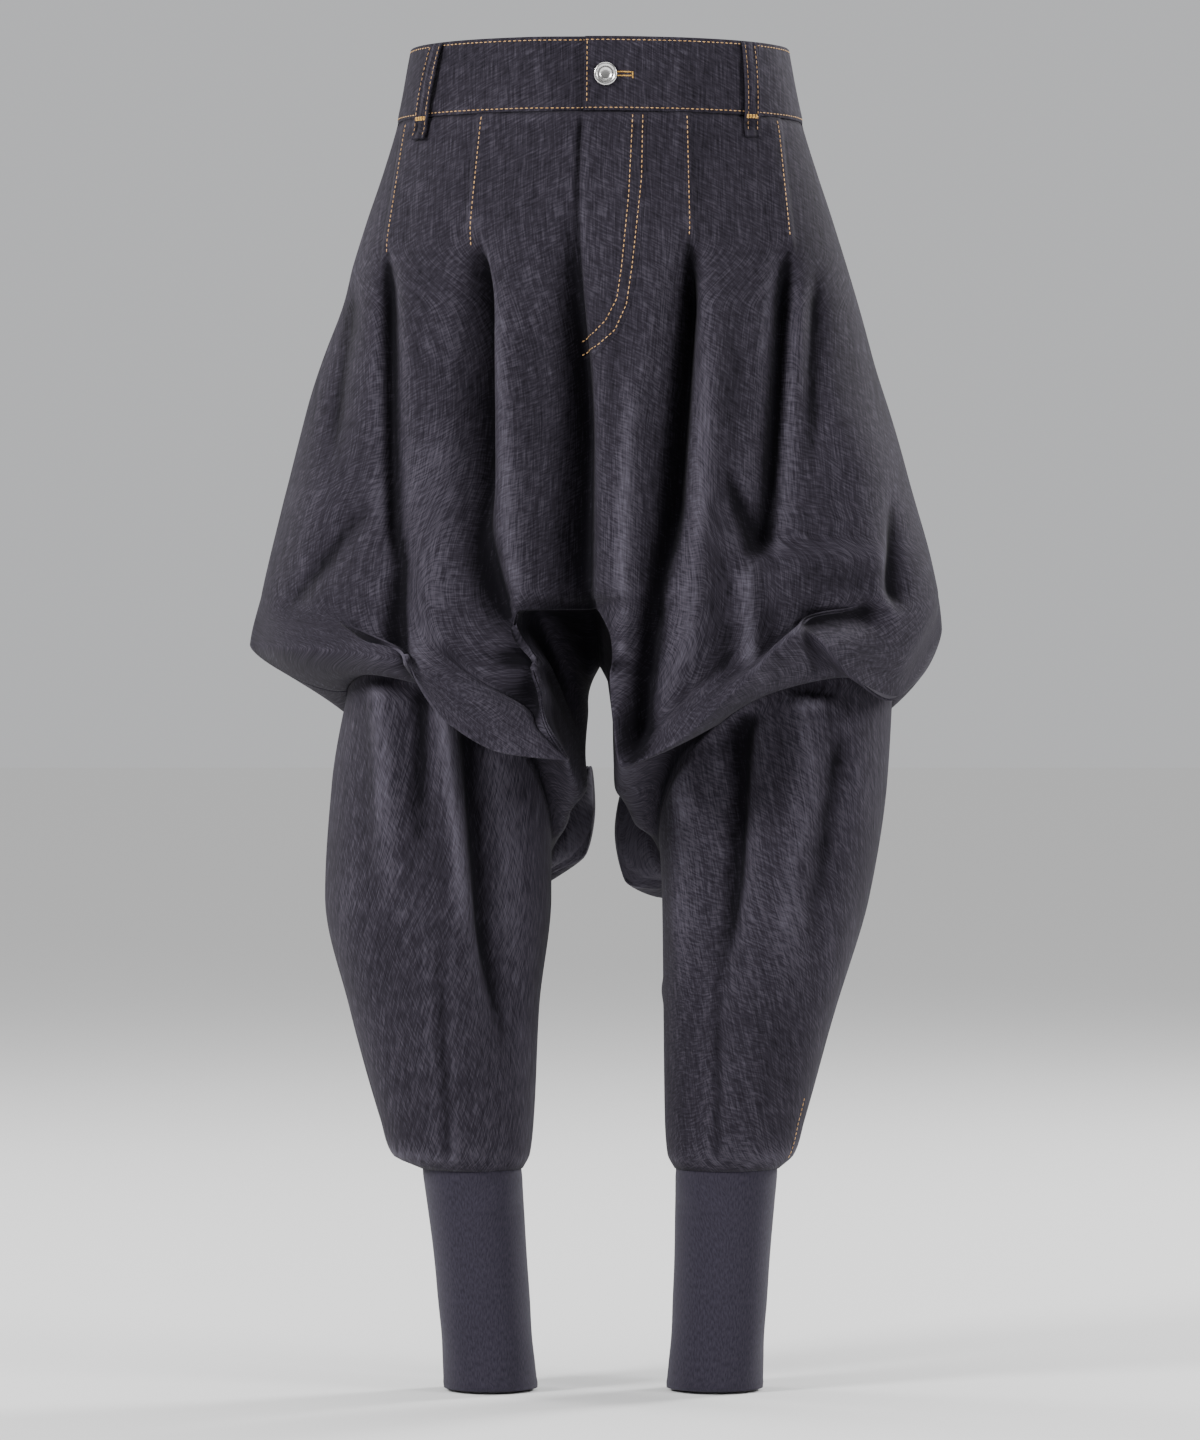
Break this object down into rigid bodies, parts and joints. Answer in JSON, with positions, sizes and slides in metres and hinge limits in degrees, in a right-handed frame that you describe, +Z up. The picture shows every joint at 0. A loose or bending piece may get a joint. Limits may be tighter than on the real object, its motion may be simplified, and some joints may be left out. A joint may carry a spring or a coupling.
{
  "type": "harem trousers",
  "caption": "Dark denim harem trousers in worn form: gathered back waist, draped dropped crotch, tapered lower legs, long jersey cuffs.",
  "frame": {"origin": "middle of the waist opening, half way up the waistband, where the wearer's waist holds the trousers", "axes": "+Z up along the body, -Y the way the wearer faces, +X the wearer's left"},
  "size_m": [0.514, 0.3159, 0.9921],
  "materials": {
    "denim": "washed black twill",
    "jersey": "fine ribbed knit",
    "label": "black woven tape",
    "button": "satin"
  },
  "bodies": {
    "root": {"waistband_front_left": "denim", "waistband_front_right": "denim", "waistband_back": "denim", "front_left": "denim", "front_right": "denim", "back_left": "denim", "back_right": "denim", "gusset": "denim", "leg_front_left": "denim", "leg_back_left": "denim", "leg_front_right": "denim", "leg_back_right": "denim", "fly": "denim", "pocket_left": "denim", "pocket_right": "denim", "belt_loop_front_left": "denim", "belt_loop_front_right": "denim", "belt_loop_back_left": "denim", "belt_loop_back_right": "denim", "cuff_left": "jersey", "cuff_right": "jersey", "label_tab": "label", "button": "button"}
  },
  "joints": []
}
